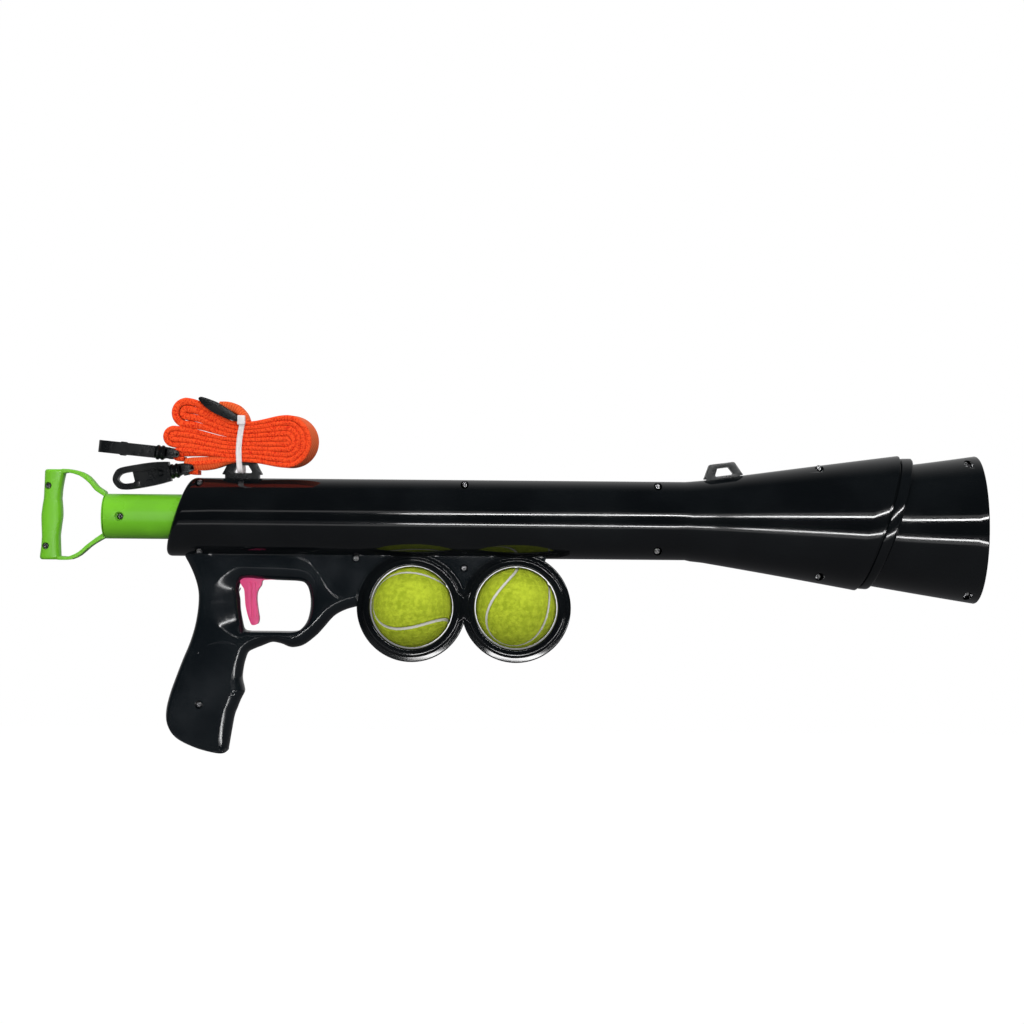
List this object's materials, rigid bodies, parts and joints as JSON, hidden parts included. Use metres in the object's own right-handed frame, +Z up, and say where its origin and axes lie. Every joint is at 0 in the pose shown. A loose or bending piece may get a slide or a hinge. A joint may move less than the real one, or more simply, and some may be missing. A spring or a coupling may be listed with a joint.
{
  "type": "dog ball thrower",
  "caption": "Hand-held spring launcher for dog balls: pull handle, trigger grip, flared muzzle, ring holders for spare balls and a stowed carrying strap.",
  "frame": {"origin": "middle of the grip's palm section, on the parting plane between the two shells", "axes": "+X along the barrel toward the muzzle, +Y to the left of the shooter, +Z up, with the barrel's axis 131.5 mm above the origin"},
  "size_m": [0.7092, 0.1116, 0.2686],
  "materials": {
    "black_abs": "gloss moulded black plastic",
    "green_abs": "satin moulded green plastic",
    "pink_abs": "satin moulded pink plastic",
    "black_nylon": "satin moulded black nylon",
    "white_acetal": "satin moulded white plastic",
    "clear_nylon": "translucent natural nylon",
    "orange_webbing": "woven polypropylene webbing",
    "ball_felt": "yellow-green felt with pale seam",
    "steel": "zinc-plated steel"
  },
  "bodies": {
    "launcher": {"right_shell": "black_abs", "left_shell": "black_abs", "muzzle_right": "black_abs", "muzzle_left": "black_abs", "guide_bush": "white_acetal", "launch_spring": "steel", "sear_spring": "steel", "trigger_spring": "steel", "sear_pin": "steel", "trigger_pin": "steel", "rear_strap_loop": "black_nylon", "front_strap_loop": "black_nylon", "slider_buckle": "black_nylon", "upper_swivel": "black_nylon", "lower_swivel": "black_nylon", "strap_hank": "orange_webbing", "zip_tie": "clear_nylon", "shell_screw_rear_top": "steel", "shell_screw_rear_low": "steel", "shell_screw_barrel_middle": "steel", "shell_screw_barrel_front": "steel", "shell_screw_barrel_front_low": "steel", "shell_screw_flare_top": "steel", "shell_screw_flare_low": "steel", "shell_screw_guard": "steel", "shell_screw_neck": "steel", "shell_screw_grip": "steel", "muzzle_screw_top": "steel", "muzzle_screw_low": "steel"},
    "plunger": {"plunger_tube": "green_abs", "pusher_cup": "white_acetal", "handle_right": "green_abs", "handle_left": "green_abs", "handle_screw_upper": "steel", "handle_screw_lower": "steel", "tube_screw": "steel"},
    "trigger": {"trigger": "pink_abs"},
    "sear": {"sear_lever": "steel"},
    "ball_rear": {"ball_rear": "ball_felt"},
    "ball_front": {"ball_front": "ball_felt"},
    "upper_hook": {"upper_hook": "black_nylon"},
    "lower_hook": {"lower_hook": "black_nylon"}
  },
  "joints": [
    {"name": "plunger_pull", "type": "slide", "parent": "launcher", "child": "plunger", "axis": [-1, 0, 0], "range_m": [0, 0.11], "stiffness_N_per_m": 250, "springref_m": -0.03, "deforming": ["launch_spring"]},
    {"name": "trigger_pull", "type": "hinge", "parent": "launcher", "child": "trigger", "pos_m": [0.04, 0, 0.095], "axis": [0, 1, 0], "range_deg": [0, 9], "stiffness_Nm_per_rad": 0.3, "springref_deg": -8.59, "deforming": ["trigger_spring"]},
    {"name": "sear_release", "type": "hinge", "parent": "launcher", "child": "sear", "pos_m": [0.042, 0, 0.10845], "axis": [0, 1, 0], "range_deg": [0, 9.5], "deforming": ["sear_spring"]},
    {"name": "ball_rear_push", "type": "slide", "parent": "launcher", "child": "ball_rear", "axis": [0, 1, 0], "range_m": [-0.07, 0.07]},
    {"name": "ball_front_push", "type": "slide", "parent": "launcher", "child": "ball_front", "axis": [0, 1, 0], "range_m": [-0.07, 0.07]},
    {"name": "upper_hook_swivel", "type": "hinge", "parent": "launcher", "child": "upper_hook", "pos_m": [-0.0225, 0, 0.1787], "axis": [-0.9952, 0, 0.0976], "range_deg": [-20, 20]},
    {"name": "lower_hook_swivel", "type": "hinge", "parent": "launcher", "child": "lower_hook", "pos_m": [-0.0115, 0, 0.1685], "axis": [-0.9877, 0, -0.1564], "range_deg": [-60, 60]}
  ],
  "couplings": [
    {"joint": "sear_release", "follows": "trigger_pull", "ratio": 1}
  ]
}
